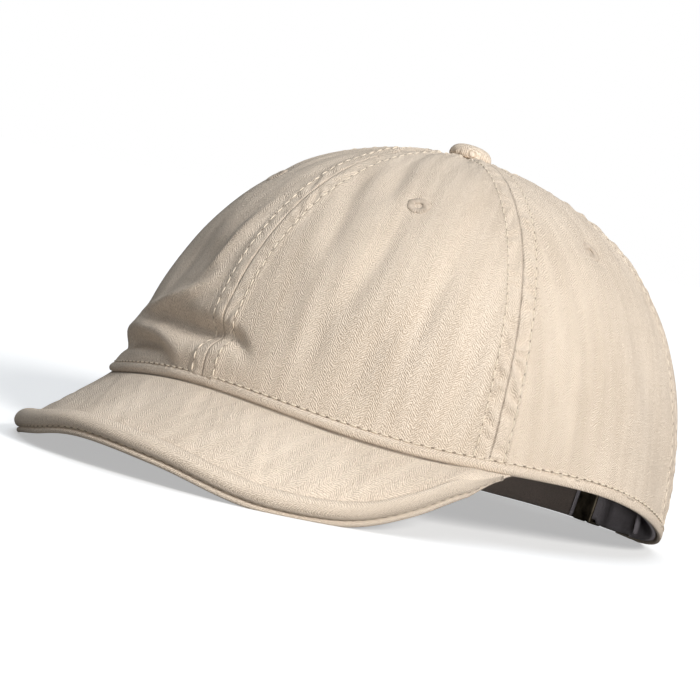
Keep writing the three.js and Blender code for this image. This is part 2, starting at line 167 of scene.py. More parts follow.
# Length, width and height of the stitches, and of the painted-shade needle holes between them
SEAM_THREAD, SEAM_THREAD_FLAT, SEAM_HOLE = (2.9, 0.5, 0.2), (2.9, 0.5, 0.12), (1.2, 0.38, 0.07)
HEM_THREAD, HEM_HOLE = (2.3, 0.5, 0.22), (1.3, 0.52, 0.04)
PEAK_THREAD, PEAK_HOLE, PEAK_INNER_THREAD = (2.3, 0.45, 0.1), (1.1, 0.5, 0.06), (2.4, 0.5, 0.2)
STRAP_THREAD = (2.5, 0.5, 0.2)

# Eyelets and button
EYELET_RADIUS, EYELET_HOLE = 3.9, 1.25
EYELET_CLIMB_FRONT, EYELET_CLIMB_SIDE = 0.522, 0.565
EYELET_DRAW, EYELET_DRAW_WIDTH = 0.9, 6.5
BUTTON_RADIUS, BUTTON_HEIGHT = 7.2, 4.5


# Small mathematics

LATTICE = 97


def smoothstep(x, low, high):
    t = np.clip((x - low) / (high - low), 0, 1)
    return t * t * (3 - 2 * t)


def bell(x, width):
    return np.exp(-(x / width) ** 2)


def unit(v):
    return v / np.linalg.norm(v, axis=-1, keepdims=True)


def noise(x, y, seed):
    """Smooth noise from -1 to 1 on a plane, one cell to a unit. Each use has its own seed."""
    lattice = np.random.default_rng(seed).uniform(-1, 1, (LATTICE, LATTICE))
    xi, yi = np.floor(x).astype(int), np.floor(y).astype(int)
    fx, fy = smoothstep(x - xi, 0, 1), smoothstep(y - yi, 0, 1)
    at = lambda i, j: lattice[(xi + i) % LATTICE, (yi + j) % LATTICE]
    low = at(0, 0) * (1 - fx) + at(1, 0) * fx
    high = at(0, 1) * (1 - fx) + at(1, 1) * fx
    return low * (1 - fy) + high * fy


def catmull(x, table):
    """A smooth curve through the rows of a table of (x, value), even about zero."""
    keys = [row[0] for row in table]
    values = np.array([row[1] for row in table], float)
    x = np.abs(np.asarray(x, float))
    last = len(keys) - 1
    i = np.clip(np.searchsorted(keys, x, side="right") - 1, 0, last - 1)
    share = (x - np.take(keys, i)) / (np.take(keys, i + 1) - np.take(keys, i))
    value = lambda k: values[np.clip(np.abs(k), 0, last)]
    slope_in = (value(i + 1) - value(i - 1)) / 2
    slope_out = (value(i + 2) - value(i)) / 2
    s2, s3 = share ** 2, share ** 3
    return (value(i) * (2 * s3 - 3 * s2 + 1) + slope_in * (s3 - 2 * s2 + share)
            + value(i + 1) * (3 * s2 - 2 * s3) + slope_out * (s3 - s2))


# The crown's surface

def hem_height(azimuth):
    a = np.radians(azimuth)
    return HEM_TWICE * np.cos(2 * a) + HEM_FOUR * np.cos(4 * a)


def roundness(azimuth):
    forward = np.cos(np.radians(azimuth))
    front, back = np.clip(forward, 0, 1) ** 2, np.clip(-forward, 0, 1) ** 2
    side = 1 - forward ** 2
    return (ROUND_FRONT * front + ROUND_SIDE * side + ROUND_BACK * back,
            SWELL_FRONT * front + SWELL_SIDE * side + SWELL_BACK * back)


def crown_point(azimuth, climb):
    """The bare crown. Climb runs from 0 at the hem to 1 at the top."""
    azimuth, climb = np.broadcast_arrays(np.asarray(azimuth, float), np.asarray(climb, float))
    a = np.radians(azimuth)
    plan, swell = roundness(azimuth)
    angle = np.clip(climb, 0, 1.02) * np.pi / 2
    cosine, sine = np.abs(np.cos(angle)), np.sin(angle)
    # Halved steps find the rounded outline along each direction
    reach, step, halvings = np.ones_like(angle), 0.5, 30
    for _ in range(halvings):
        total = (reach * cosine) ** plan + (reach * sine) ** ROUND_RISE
        reach = reach + np.where(total < 1, step, -step)
        step /= 2
    up = reach * sine
    out = reach * np.cos(angle) * (1 + 4 * swell * up * (1 - up))
    flare = bell(azimuth - FLARE_AZIMUTH, FLARE_WIDTH) * bell(CROWN_HEIGHT * up, FLARE_RISE)
    return np.stack([
        (HALF_WIDTH * out + FLARE_OUT * flare) * np.sin(a) - LEAN_RIGHT * up ** 3,
        -(HALF_LENGTH * out + FLARE_OUT * flare) * np.cos(a) - LEAN_FORWARD * up ** 3,
        hem_height(azimuth) * (1 - up) ** 2 + CROWN_HEIGHT * up - FLARE_DOWN * flare,
    ], -1)


def crown_normal(azimuth, climb):
    aside, lift = 0.5, 0.004
    around = crown_point(azimuth + aside, climb) - crown_point(azimuth - aside, climb)
    upwards = crown_point(azimuth, climb + lift) - crown_point(azimuth, climb - lift)
    return unit(np.cross(around, upwards))


def climb_at(azimuth, height):
    """The climb at which the bare crown is a height above the hem."""
    hem = hem_height(azimuth)
    rise = CROWN_HEIGHT - 2 * hem
    root = np.sqrt(rise ** 2 + 4 * hem * height)
    level = np.abs(hem) < 1e-6
    up = np.where(level, height / rise, (root - rise) / (2 * np.where(level, 1, hem)))
    plan, _ = roundness(azimuth)
    out = np.clip(1 - np.clip(up, 0, 1) ** ROUND_RISE, 0, 1) ** (1 / plan)
    return np.arctan2(up, out) * 2 / np.pi


def axis_distance(point):
    """How far a point of the crown is from the crown's leaning axis."""
    lean = np.clip(point[..., 2] / CROWN_HEIGHT, 0, 1) ** 3
    return np.hypot(point[..., 0] + LEAN_RIGHT * lean, point[..., 1] + LEAN_FORWARD * lean)


def fold_rise(azimuth, point):
    """How far the folds and the fullness between two seams move the cloth outwards, in millimetres."""
    reach = np.hypot(point[..., 0], point[..., 1])
    fullness = (1 - np.cos(np.radians(PANELS * azimuth))) / 2
    share = np.clip(point[..., 2] / CROWN_HEIGHT, 0, 1)
    rise = PANEL_PUFF * fullness * 4 * share * (1 - share)
    for turns in FOLDS.values():
        nearest = np.full(np.shape(rise), np.inf)
        lift = np.zeros(np.shape(rise))
        for first, second in zip(turns, turns[1:]):
            azimuth_a, height_a, width_a, depth_a = first
            azimuth_b, height_b, width_b, depth_b = second
            run = np.radians(azimuth_b - azimuth_a) * reach
            climb = height_b - height_a
            across = np.radians(azimuth - azimuth_a) * reach
            above = point[..., 2] - height_a
            along = np.clip((across * run + above * climb) / (run ** 2 + climb ** 2), 0, 1)
            distance = np.hypot(across - along * run, above - along * climb)
            width = width_a + (width_b - width_a) * along
            closer = distance / width < nearest
            nearest = np.where(closer, distance / width, nearest)
            lift = np.where(closer, (depth_a + (depth_b - depth_a) * along) * bell(distance, width), lift)
        rise = rise + lift
    return rise


def seam_distance(azimuth, point):
    """Signed distance along the cloth to the nearest seam, and that seam's number."""
    number = np.round(azimuth / PANEL_ANGLE)
    return np.radians(azimuth - number * PANEL_ANGLE) * axis_distance(point), number


def sewing_rise(azimuth, climb, point):
    """Relief of the seams, topstitching, puckers and small creases."""
    along = climb * MERIDIAN
    distance, number = seam_distance(azimuth, point)
    apart = np.abs(distance)
    allowance = ALLOWANCE_RISE * smoothstep(-apart, -ALLOWANCE_END, -ALLOWANCE_FULL)
    crease = -CREASE_DEPTH * bell(apart, CREASE_WIDTH)
    crease = crease * (0.75 + 0.25 * noise(along / 9 + 2 * number, apart * 0, 17))
    crease = crease * np.where(number == 1, 0.6, 1)
    needle = 0.65 + 0.35 * np.cos(2 * np.pi * along / SEAM_STITCH)
    topstitch = -0.26 * bell(apart - TOPSTITCH, 0.6) * needle
    side = np.where(distance > 0, 7.0, 0.0)
    wobble = noise(along / 8 + 5 * number + side, apart / 9, 11)
    strength = 0.3 + 0.22 * noise(along / 17 + 3 * number + side, apart / 30, 15)
    phase = along / PUCKER_PITCH + 0.9 * wobble + 0.35 * number + 0.05 * side
    pucker = strength * np.sin(2 * np.pi * phase)
    # The near side seam puckers most, low down, and the front seam is calm by the hem
    bold = np.where(number == 1, 0.9 + 0.9 * smoothstep(-along, -80, -25), 0.9)
    pucker = bold * pucker * bell(apart - 2.6, 2.0)
    calm = np.where(number == 0, 0.3 + 0.7 * smoothstep(along, 8, 26), 1)
    spread = 0.16 * noise(along / 3.4 + side, apart / 7 + number, 16) * bell(apart - 7.5, 3.5)
    around = np.radians(azimuth) * HALF_WIDTH
    pull = 0.3 * noise(around / 3.4, along / 40, 12) + 0.24 * np.sin(2 * np.pi * around / HEM_STITCH)
    pull = pull * bell(along - 3, 3)
    soft = 0.6 * noise(around / 17, along / 42, 13) + 0.24 * noise(around / 6.5, along / 22, 14)
    fade = smoothstep(-climb, -0.97, -0.9)
    sewn = allowance + calm * (crease + topstitch + pucker + spread)
    return sewn * fade + calm * pull + soft * smoothstep(along, 4, 16)


def eyelet_climb(middle):
    return np.where(np.abs(middle) < 60, EYELET_CLIMB_FRONT, EYELET_CLIMB_SIDE)


def eyelet_rise(azimuth, climb, point):
    """The cloth is drawn in under each eyelet."""
    middle = (np.floor(azimuth / PANEL_ANGLE) + 0.5) * PANEL_ANGLE
    around = np.radians(azimuth - middle) * axis_distance(point)
    distance = np.hypot(around, (climb - eyelet_climb(middle)) * MERIDIAN)
    return -EYELET_DRAW * bell(distance, EYELET_DRAW_WIDTH)


def cloth_surface(azimuth, climb):
    """Point and normal of the finished crown cloth."""
    point = crown_point(azimuth, climb)
    normal = crown_normal(azimuth, climb)
    rise = fold_rise(azimuth, point) + sewing_rise(azimuth, climb, point)
    rise = rise + eyelet_rise(azimuth, climb, point)
    return point + normal * rise[..., None], normal


def wall_point(azimuth, height, inset):
    """A point behind the bare crown at a height above the hem, and the level direction outwards."""
    azimuth, height = np.broadcast_arrays(np.asarray(azimuth, float), np.asarray(height, float))
    climb = climb_at(azimuth, np.maximum(height, 0))
    point = crown_point(azimuth, climb)
    out = crown_normal(azimuth, climb)
    out[..., 2] = 0
    out = unit(out)
    point = point - out * np.asarray(inset)[..., None]
    point[..., 2] += np.minimum(height, 0)
    return point, out


def stand(points):
    """From the hat's frame in millimetres to the shared frame in metres, pressed flat on the floor."""
    placed = turn(points) + np.array([0, STAND_Y, STAND_Z])
    placed[..., 2] = np.maximum(placed[..., 2], 0)
    return placed * MM


def stand_unpressed(points):
    return turn(points) * MM + np.array([0, STAND_Y, STAND_Z]) * MM


def turn(vectors):
    """Directions or points of the hat's frame, tilted as the hat rests."""
    vectors = np.asarray(vectors, float)
    x, y, z = vectors[..., 0], vectors[..., 1], vectors[..., 2]
    cosine, sine = math.cos(REST_TILT), math.sin(REST_TILT)
    return np.stack([x, y * cosine - z * sine, y * sine + z * cosine], -1)


# Meshes

def add_object(name, data):
    thing = bpy.data.objects.new(name, data)
    bpy.context.scene.collection.objects.link(thing)
    return thing


def add_mesh(name, points, faces):
    """A new object in the scene, from points in metres."""
    mesh = bpy.data.meshes.new(name)
    mesh.from_pydata(np.asarray(points).tolist(), [], [list(map(int, f)) for f in faces])
    return add_object(name, mesh)


def make_piece(name, points, faces, material, replaces=(), uv=None, sewing=None):
    """A mesh from points in the hat's frame.

    uv is the place on the cloth in millimetres, one row a point. sewing holds the distance from the
    nearest seam line, row of stitches, groove or band edge and the way along it, for painted shade.
    """
    piece = add_mesh(name, stand(points), faces)
    mesh = piece.data
    mesh.validate()
    index = np.zeros(len(mesh.loops), int)
    mesh.loops.foreach_get("vertex_index", index)
    for layer_name, values in (("cloth", uv), ("sewing", sewing)):
        if values is not None:
            layer = mesh.uv_layers.new(name=layer_name)
            layer.data.foreach_set("uv", np.asarray(values, np.float32)[index].ravel())
    mesh.polygons.foreach_set("use_smooth", [True] * len(mesh.polygons))
    mesh.materials.append(material)
    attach(piece, "root")
    if replaces:
        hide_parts(*replaces)
    return piece


def grid_faces(rows, columns, wrap=False, start=0, flip=False):
    """Quads of a grid of points, closed across its columns if wrap."""
    r = np.arange(rows - 1)[:, None]
    c = np.arange(columns if wrap else columns - 1)[None, :]
    after = (c + 1) % columns
    a, b = r * columns + c, r * columns + after
    faces = np.stack([a, b, b + columns, a + columns], -1).reshape(-1, 4) + start
    return faces[:, ::-1] if flip else faces


def shell(outer, inner):
    """Points and faces of a wall between two grids, closed along its four edges."""
    rows, columns = outer.shape[:2]
    behind = rows * columns
    index = np.arange(behind).reshape(rows, columns)
    faces = [grid_faces(rows, columns), grid_faces(rows, columns, start=behind, flip=True)]
    for edge in (index[0, ::-1], index[-1], index[:, 0], index[::-1, -1]):
        faces.append(np.stack([edge[:-1], edge[1:], edge[1:] + behind, edge[:-1] + behind], -1))
    return np.concatenate([outer.reshape(-1, 3), inner.reshape(-1, 3)]), np.concatenate(faces)


def tube(sections):
    """Points and faces of a run of closed sections, with a fan cap at each end."""
    count, size = sections.shape[:2]
    centres = np.array([sections[0].mean(0), sections[-1].mean(0)])
    points = np.concatenate([sections.reshape(-1, 3), centres])
    k = np.arange(size)
    after = (k + 1) % size
    faces = grid_faces(count, size, wrap=True).tolist()
    faces += [[a, count * size, b] for a, b in zip(after, k)]
    last = (count - 1) * size
    faces += [[last + a, count * size + 1, last + b] for a, b in zip(k, after)]
    return points, faces


def closed_ring(sections):
    """Points and faces of a run of closed sections whose end meets its start."""
    grid = np.array(sections)
    count, size = grid.shape[:2]
    return grid.reshape(-1, 3), grid_faces(count + 1, size, wrap=True) % (count * size)


def tube_map(across, along, shift=0):
    """The map of a tube's points and of its two cap centres."""
    rows = np.stack(np.broadcast_arrays(across[None, :], along[:, None]), -1).reshape(-1, 2) + shift
    return np.concatenate([rows, rows[:1], rows[-1:]])


def lengths_along(line):
    """The way along a line to each of its points."""
    return np.concatenate([[0], np.cumsum(np.linalg.norm(np.diff(line, axis=0), axis=1))])


def stitch_run(name, points, normals, pitch, size, material, shift=0.0):
    """A row of stitches along a line on the cloth, as one mesh. Size is length, width and height."""
    length, width, height = size
    walked = lengths_along(points)
    count = max(int(walked[-1] / pitch), 1)
    places = (np.arange(count) + 0.5 + shift) * walked[-1] / count
    sample = lambda values, at: np.stack([np.interp(at, walked, values[:, k]) for k in range(3)], -1)
    rings, sides = 7, 6
    along = np.linspace(-1, 1, rings)
    fat = np.sqrt(np.clip(1 - np.abs(along) ** 2.6, 0.05, 1))
    lift = height * (1 - along ** 2) - STITCH_SUNK
    around = np.arange(sides) * 2 * np.pi / sides
    centre = sample(points, (places[:, None] + along * length / 2).ravel()).reshape(count, rings, 3)
    up = unit(sample(normals, places))[:, None, :]
    ahead = unit(sample(points, places + 0.3) - sample(points, places - 0.3))[:, None, :]
    side = np.cross(up, ahead)
    centre = centre + up * lift[None, :, None]
    radius = (width / 2 * fat)[None, :, None, None]
    ring = centre[:, :, None, :] + radius * (
        np.cos(around)[:, None] * side[:, :, None, :] + np.sin(around)[:, None] * up[:, :, None, :])
    body = grid_faces(rings, sides, wrap=True)
    first, last = list(range(sides))[::-1], [(rings - 1) * sides + k for k in range(sides)]
    faces = []
    for n in range(count):
        base = n * rings * sides
        faces += (body + base).tolist()
        faces += [[base + k for k in first], [base + k for k in last]]
    return make_piece(name, ring.reshape(-1, 3), faces, material)


def sewn_row(stitches, holes, points, normals, pitch, stitch, hole):
    """A row of thread, with painted shade in the needle hole between each two stitches."""
    stitch_run(stitches, points, normals, pitch, stitch, thread)
    stitch_run(holes, points, normals, pitch, hole, needle_shade, 0.5)


# Materials

def set_inputs(tree, node, inputs):
    """Gives each input a value, or a link from another node's output."""
    for socket, value in inputs.items():
        if isinstance(value, bpy.types.NodeSocket):
            tree.links.new(value, node.inputs[socket])
        else:
            node.inputs[socket].default_value = value


def add_node(tree, kind, inputs, **options):
    node = tree.nodes.new(kind)
    for option, value in options.items():
        setattr(node, option, value)
    set_inputs(tree, node, inputs)
    return node


def new_material(name, roughness):
    material = bpy.data.materials.new(name)
    material.use_nodes = True
    tree = material.node_tree
    shader = tree.nodes["Principled BSDF"]
    shader.inputs["Roughness"].default_value = roughness
    return material, tree, shader


def math_node(tree, operation, *values):
    return add_node(tree, "ShaderNodeMath", dict(enumerate(values)), operation=operation).outputs[0]


def noise_texture(tree, place, scale, detail=2.0, roughness=0.5):
    settings = {"Vector": place, "Scale": scale, "Detail": detail, "Roughness": roughness}
    return add_node(tree, "ShaderNodeTexNoise", settings).outputs[0]


def colour_mix(tree, factor, first, second):
    settings = {"Factor": factor, "A": first, "B": second}
    return add_node(tree, "ShaderNodeMix", settings, data_type="RGBA").outputs["Result"]


def bump(tree, height, strength, distance):
    settings = {"Height": height, "Strength": strength, "Distance": distance * MM}
    return add_node(tree, "ShaderNodeBump", settings).outputs[0]


def twill_material(name, light, dark, pitch=0.82, stripe=2.9, crease=0.0, needles=0.0):
    """Washed cotton twill woven in herringbone stripes, from a map of the cloth in millimetres.

    crease is how much shade is painted along a seam line, a groove or the hem band's edge, needles
    how much painted shade beside the rows of stitches.
    """
    material, tree, shader = new_material(name, 0.92)
    op = lambda operation, *values: math_node(tree, operation, *values)

    def layer(layer_name):
        source = add_node(tree, "ShaderNodeUVMap", {}, uv_map=layer_name).outputs["UV"]
        split = add_node(tree, "ShaderNodeSeparateXYZ", {0: source}).outputs
        return source, split["X"], split["Y"]

    place, u, v = layer("cloth")

    def noise_at(scale_u, scale_v, detail, rough=0.5):
        stretch = add_node(tree, "ShaderNodeMapping", {"Vector": place, "Scale": (scale_u, scale_v, 1)})
        return op("SUBTRACT", noise_texture(tree, stretch.outputs[0], 1, detail, rough), 0.5)

    def total(*parts):
        value = op("MULTIPLY", *parts[0])
        for part in parts[1:]:
            value = op("ADD", value, op("MULTIPLY", *part))
        return value

    def line_at(distance, sharpness):
        return op("POWER", math.e, op("MULTIPLY", op("MULTIPLY", distance, distance), -sharpness))

    # Diagonal ridges that turn back at each stripe, both a little astray as in washed cloth
    drift = op("MULTIPLY", noise_at(0.3, 0.05, 2), 1.6)
    chevron = op("PINGPONG", op("ADD", u, drift), stripe)
    wander = op("MULTIPLY", noise_at(0.8, 0.8, 3), 1.5)
    diagonal = op("ADD", op("ADD", v, chevron), wander)
    wale = op("SINE", op("MULTIPLY", diagonal, 2 * math.pi / pitch))
    slub = noise_at(1.1, 0.16, 4, 0.6)
    fleck = noise_at(2.2, 1.5, 3, 0.7)
    streak = noise_at(0.26, 0.016, 3)
    blotch = noise_at(0.045, 0.03, 3)
    height = total((wale, 0.55), (slub, 0.5), (fleck, 3.2))
    tone = total((wale, 0.5), (slub, 0.4), (fleck, 2.9), (streak, 0.9), (blotch, 0.7))
    colour = colour_mix(tree, op("ADD", tone, 0.6), (*dark, 1), (*light, 1))
    # Painted shade: the cloth darkens towards SEWING_SHADE along seam lines and beside rows of needle holes
    if crease:
        _, apart, _ = layer("sewing")
        fold = line_at(apart, 6.0)
        holes = line_at(op("SUBTRACT", apart, TOPSTITCH + 0.28), 5.0)
        height = op("SUBTRACT", height, op("MULTIPLY", fold, 1.4))
        uneven = op("ADD", op("MULTIPLY", noise_at(0.02, 0.1, 2), 1.6), 1.0)
        shade_map = op("MULTIPLY", total((fold, crease), (holes, needles)), uneven)
        colour = colour_mix(tree, shade_map, colour, SEWING_SHADE)
    set_inputs(tree, shader, {
        "Base Color": colour, "Normal": bump(tree, height, 0.7, 0.3), "Specular IOR Level": 0.25,
        "Sheen Weight": 0.12, "Sheen Roughness": 0.6,
    })
    return material


def thread_and_shade_material(name, light, dark):
    """Twisted sewing thread, and the dark beads of painted shade in needle and eyelet holes."""
    material, tree, shader = new_material(name, 0.7)
    fibres = noise_texture(tree, tree.nodes.new("ShaderNodeTexCoord").outputs["Object"], 900)
    set_inputs(tree, shader, {
        "Base Color": colour_mix(tree, fibres, (*dark, 1), (*light, 1)),
        "Normal": bump(tree, fibres, 0.4, 0.1), "Sheen Weight": 0.1,
    })
    return material


def metal_material(name, light, dark):
    """Dull, aged metal, unevenly dark."""
    material, tree, shader = new_material(name, 0.55)
    stain = noise_texture(tree, tree.nodes.new("ShaderNodeTexCoord").outputs["Object"], 260, 6)
    ramp = add_node(tree, "ShaderNodeValToRGB", {0: stain})
    for stop, position, colour in zip(ramp.color_ramp.elements, (0.32, 0.62), (dark, light)):
        stop.position, stop.color = position, (*colour, 1)
    roughness = math_node(tree, "MULTIPLY_ADD", stain, 0.3, 0.42)
    set_inputs(tree, shader, {"Base Color": ramp.outputs[0], "Roughness": roughness, "Metallic": 1})
    return material


TWILL_LIGHT, TWILL_DARK = (0.90, 0.765, 0.625), (0.56, 0.445, 0.335)
# Colour of the painted shade along seams, grooves, stitch rows and the hem band's edge
SEWING_SHADE = (0.17, 0.125, 0.085, 1)
cap_cloth = twill_material("cap_twill", TWILL_LIGHT, TWILL_DARK)
panel_cloth = twill_material("cap_twill_seamed", TWILL_LIGHT, TWILL_DARK, crease=0.24, needles=0.16)
peak_cloth = twill_material("cap_twill_peak", TWILL_LIGHT, TWILL_DARK, crease=0.7)
thread = thread_and_shade_material("cream_thread", (0.84, 0.74, 0.60), (0.62, 0.52, 0.40))
eyelet_thread = thread_and_shade_material("beige_eyelet_thread", (0.66, 0.56, 0.46), (0.30, 0.235, 0.175))
# Painted shade: dark beads standing in for the shade in the needle holes between stitches
needle_shade = thread_and_shade_material("shaded_needle_holes", (0.34, 0.265, 0.195), (0.20, 0.155, 0.11))
# Painted shade: the dark bowl in each eyelet's hole
hole_shade = thread_and_shade_material("shaded_eyelet_hole", (0.10, 0.08, 0.06), (0.05, 0.04, 0.03))
# Stripes wider than the piece leave plain twill
PLAIN_TWILL = {"pitch": 0.6, "stripe": 400}
SWEAT_LIGHT, SWEAT_DARK = (0.66, 0.605, 0.635), (0.50, 0.455, 0.48)
STRAP_LIGHT, STRAP_DARK = (0.38, 0.305, 0.265), (0.25, 0.20, 0.17)
sweat_cloth = twill_material("grey_sweatband_cloth", SWEAT_LIGHT, SWEAT_DARK, **PLAIN_TWILL)
strap_cloth = twill_material("dark_strap_cloth", STRAP_LIGHT, STRAP_DARK, **PLAIN_TWILL)
slide_metal = metal_material("aged_slide_metal", (0.27, 0.225, 0.16), (0.07, 0.056, 0.04))


# Crown panels

def panel_columns():
    """Shares of a panel's width, close together beside its two seams."""
    dense = 0.085
    near = np.linspace(0, dense, 20)
    middle = np.linspace(dense, 1 - dense, 48)[1:-1]
    return np.concatenate([near, middle, 1 - near[::-1]])


def arch_outline():
    """The rear opening seen from behind, from well below the hem on both sides."""
    angle, below = np.linspace(0, np.pi, 41), -20
    x = np.concatenate([[-ARCH_HALF_WIDTH], -ARCH_HALF_WIDTH * np.cos(angle), [ARCH_HALF_WIDTH]])
    z = np.concatenate([[below], ARCH_WALL + ARCH_HALF_WIDTH * np.sin(angle), [below]])
    return x, z


def cut_with(piece, points, faces):
    """Cuts a closed solid out of a piece and applies the cut."""
    cutter = add_mesh("cutter", stand_unpressed(points), faces)
    modifier = piece.modifiers.new("cut", "BOOLEAN")
    modifier.operation = "DIFFERENCE"
    modifier.solver = "EXACT"
    modifier.object = cutter
    bpy.context.view_layer.update()
    graph = bpy.context.evaluated_depsgraph_get()
    done = bpy.data.meshes.new_from_object(piece.evaluated_get(graph))
    piece.modifiers.remove(modifier)
    piece.data = done
    bpy.data.objects.remove(cutter)


def crown_panel(name, start):
    """One gore of the crown, cut by the rear opening if it is at the back."""
    columns = panel_columns()
    rows = np.linspace(0, 1, PANEL_ROWS)
    low = climb_at(start + PANEL_ANGLE * columns, BAND_HEIGHT - BAND_OVERLAP)
    climb = low[None, :] + (CROWN_TOP - low)[None, :] * rows[:, None]
    azimuth = np.broadcast_to(start + PANEL_ANGLE * columns, climb.shape)
    seam_gap = np.degrees(SEAM_GAP / np.maximum(axis_distance(crown_point(azimuth, climb)), 2))
    azimuth = start + seam_gap + (PANEL_ANGLE - 2 * seam_gap) * columns[None, :]
    outer, normal = cloth_surface(azimuth, climb)
    points, faces = shell(outer, outer - normal * CLOTH)
    middle = start + PANEL_ANGLE / 2
    bare = crown_point(azimuth, climb)
    u = np.radians(azimuth - middle) * axis_distance(bare)
    uv = np.stack([u + 200 + start, climb * MERIDIAN], -1).reshape(-1, 2)
    distance, _ = seam_distance(azimuth, bare)
    shade_map = np.stack([np.abs(distance), climb * MERIDIAN], -1).reshape(-1, 2)
    piece = make_piece(
        f"cloth_{name}", points, faces, panel_cloth, [f"panel_{name}"],
        np.concatenate([uv, uv]), np.concatenate([shade_map, shade_map]),
    )
    if abs(middle) > 120:
        x, z = arch_outline()
        front, back = (np.stack([x, np.full_like(x, reach), z], -1) for reach in (40, 125))
        count = len(x)
        sides = [[k, (k + 1) % count, (k + 1) % count + count, k + count] for k in range(count)]
        caps = [list(range(count))[::-1], [count + k for k in range(count)]]
        cut_with(piece, np.concatenate([front, back]), sides + caps)


PANEL_STARTS = {
    "front_left": 0, "front_right": -60, "side_left": 60, "side_right": -120, "back_left": 120,
    "back_right": -180,
}


def crown_cloth():
    for name, start in PANEL_STARTS.items():
        crown_panel(name, start)


def seam_stitching():
    """A row of topstitching on both sides of each seam, down to the opening at the back."""
    top_distance, above_arch = 9.2, 4
    for number in range(PANELS):
        seam = number * PANEL_ANGLE
        for side in (-1, 1):
            climb = np.linspace(0.02, 0.97, 400)
            reach = axis_distance(crown_point(np.full_like(climb, seam), climb))
            keep = reach > top_distance
            if number == 3:
                keep &= climb * MERIDIAN > ARCH_HALF_WIDTH + ARCH_WALL + above_arch
            climb, reach = climb[keep], reach[keep]
            points, normals = cloth_surface(seam + side * np.degrees(TOPSTITCH / reach), climb)
            label = f"{int(seam)}_{'left' if side > 0 else 'right'}"
            sewn_row(f"topstitch_{label}", f"needle_holes_{label}", points, normals, SEAM_STITCH,
                     SEAM_THREAD if number in (0, 1, 5) else SEAM_THREAD_FLAT, SEAM_HOLE)


# Hem band

def hem_band():
    """The turned hem: flat at the back, corded and proud at the front, with its row of stitches."""
    azimuth = np.linspace(-BAND_END, BAND_END, 900)
    steps = 15
    angle = np.linspace(-0.5 * np.pi, 0.5 * np.pi, steps)
    corded = smoothstep(-np.abs(azimuth), -76, -62)
    proud = BAND_PROUD_BACK + (BAND_PROUD_FRONT - BAND_PROUD_BACK) * corded
    depth = 1.0 + 0.6 * corded
    lower = 1 - 0.15 * bell(azimuth - FLARE_AZIMUTH, FLARE_WIDTH)
    curve = np.concatenate([[0], np.cos(angle) ** 0.7, [0]])
    inner = np.concatenate([[1], np.zeros(steps), [1]])
    up = np.concatenate([[0.3], BAND_HEIGHT / 2 * (1 + np.sin(angle)), [BAND_HEIGHT - 0.2]])
    around = np.radians(azimuth) * HALF_WIDTH
    pucker = 0.5 + 0.5 * np.cos(2 * np.pi * around / HEM_STITCH)
    loose = noise(around / 11, around * 0, 21)
    sections = []
    for k in range(len(up)):
        share = up[k] / BAND_HEIGHT
        dip = -0.3 * pucker * smoothstep(share, 0.45, 1) + 0.25 * loose * (1 - abs(2 * share - 1))
        out = (proud - depth + depth * curve[k]) * (1 - inner[k]) - CLOTH * inner[k]
        sections.append(wall_point(azimuth, up[k] * lower, -(out + dip * (1 - inner[k])))[0])
    points, faces = tube(np.stack(sections, 1))
    across = np.cumsum(np.hypot(np.diff(1.4 * curve, prepend=0), np.diff(up, prepend=up[0])))
    make_piece("cloth_hem_band", points, faces, cap_cloth, ["edge_band"],
               tube_map(across, around))
    line, normal = wall_point(azimuth, (BAND_HEIGHT + 0.1) * lower, -0.25)
    sewn_row("hem_stitching", "hem_needle_holes", line, normal, HEM_STITCH, HEM_THREAD, HEM_HOLE)


def sweat_band():
    """The grey band inside the hem. It stands further in behind the hollow of the crown."""
    azimuth = np.linspace(-SWEAT_END, SWEAT_END, 260)
    inset = np.array([1.8, 2.0, 2.4, 3.6, 4.9, 5.1, SWEAT_INSET, SWEAT_INSET, SWEAT_INSET])
    height = np.array([0.9, 2.5, 5, 9, 13, 18, 24, 28, SWEAT_HEIGHT])
    inset = np.concatenate([inset, inset[::-1] + SWEAT_THICKNESS])
    height = np.concatenate([height, height[::-1]])
    around = np.radians(azimuth) * HALF_WIDTH
    sections = []
    for level, back in zip(height, inset):
        share = level / SWEAT_HEIGHT
        ripple = 0.5 * share * noise(around / 16, around * 0 + share, 31)
        pushed = 2.2 * bell(azimuth + 12, 26) * smoothstep(level, 3, 10)
        sections.append(wall_point(azimuth, level, back + ripple + pushed)[0])
    points, faces = tube(np.stack(sections, 1))
    make_piece("cloth_sweatband", points, faces, sweat_cloth, ["sweatband"],
               tube_map(height, around)[:, ::-1])


# Peak

def rulings(count):
    """Lines of the peak from the hem to its lower edge, with their own directions and size."""
    across = np.linspace(-1, 1, count)
    start, _ = wall_point(across * PEAK_HEM_END, np.full(count, 0.5), np.full(count, 0.9))
    angle = across * PEAK_OUTLINE_END
    edge = np.stack([
        np.where(angle > 0, PEAK_HALF_WIDTH, PEAK_HALF_WIDTH_RIGHT) * np.sin(np.radians(angle)),
        PEAK_CENTRE - PEAK_LENGTH * np.cos(np.radians(angle)),
        -catmull(angle, PEAK_DROPS) - 2.2 * bell(angle + 20, 12),
    ], -1)
    size = 1 - (1 - TAPER_END) * smoothstep(np.abs(across), TAPER_START, 1)
    size = size * (1 - 0.62 * smoothstep(-across, 0.35, 0.72))
    out = unit(edge - start)
    side = unit(np.stack([-out[:, 1], out[:, 0], np.zeros(count)], -1))
    up = np.cross(side, out)
    up *= np.sign(up[:, 2:3])
    return across, start, edge, out, up, size[:, None]


